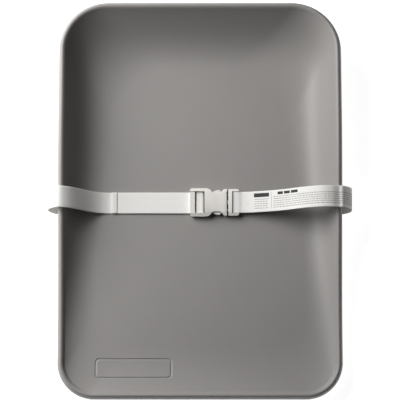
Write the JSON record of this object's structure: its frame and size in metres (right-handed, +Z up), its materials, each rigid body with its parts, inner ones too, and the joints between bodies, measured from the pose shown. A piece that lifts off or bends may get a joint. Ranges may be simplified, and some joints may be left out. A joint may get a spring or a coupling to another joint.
{
  "type": "changing pad",
  "caption": "Contoured moulded foam changing pad: a shallow tray with a rounded rim, a webbing belt across it and a side-release buckle.",
  "frame": {"origin": "middle of the flat base, on the surface the pad lies on", "axes": "+Z up out of the dish, +Y to the high head end, +X across the pad towards the side whose belt carries the buckle's plug"},
  "size_m": [0.5376, 0.7, 0.1],
  "materials": {
    "foam": "matt integral skin",
    "webbing": "flat woven, fine ribs",
    "acetal": "satin moulded",
    "plate": "satin moulded",
    "insert": "matt moulded",
    "screw": "zinc plated"
  },
  "bodies": {
    "pad": {"pad_body": "foam", "strap_webbing_left": "webbing", "strap_webbing_right": "webbing", "anchor_clamp_plate_left": "plate", "anchor_clamp_plate_right": "plate", "anchor_backing_plate_left": "insert", "anchor_backing_plate_right": "insert", "buckle_socket": "acetal", "anchor_screw_left_1": "screw", "anchor_screw_left_2": "screw", "anchor_screw_left_3": "screw", "anchor_screw_left_4": "screw", "anchor_screw_right_1": "screw", "anchor_screw_right_2": "screw", "anchor_screw_right_3": "screw", "anchor_screw_right_4": "screw"},
    "plug": {"buckle_plug": "acetal"},
    "prong_head_side": {"buckle_prong_head_side": "acetal"},
    "prong_foot_side": {"buckle_prong_foot_side": "acetal"}
  },
  "joints": [
    {"name": "plug_release", "type": "slide", "parent": "pad", "child": "plug", "axis": [1, 0, 0], "range_m": [0, 0.024], "deforming": ["strap_webbing_right"]},
    {"name": "prong_squeeze_head_side", "type": "hinge", "parent": "plug", "child": "prong_head_side", "pos_m": [0.053, 0.0135, 0.027], "axis": [0, 0, 1], "range_deg": [0, 16.2], "stiffness_Nm_per_rad": 0.05},
    {"name": "prong_squeeze_foot_side", "type": "hinge", "parent": "plug", "child": "prong_foot_side", "pos_m": [0.053, -0.0135, 0.027], "axis": [0, 0, 1], "range_deg": [-16.2, 0], "stiffness_Nm_per_rad": 0.05}
  ],
  "couplings": [
    {"joint": "prong_squeeze_head_side", "follows": "plug_release", "rad_per_m": 11.667},
    {"joint": "prong_squeeze_foot_side", "follows": "plug_release", "rad_per_m": -11.667}
  ]
}
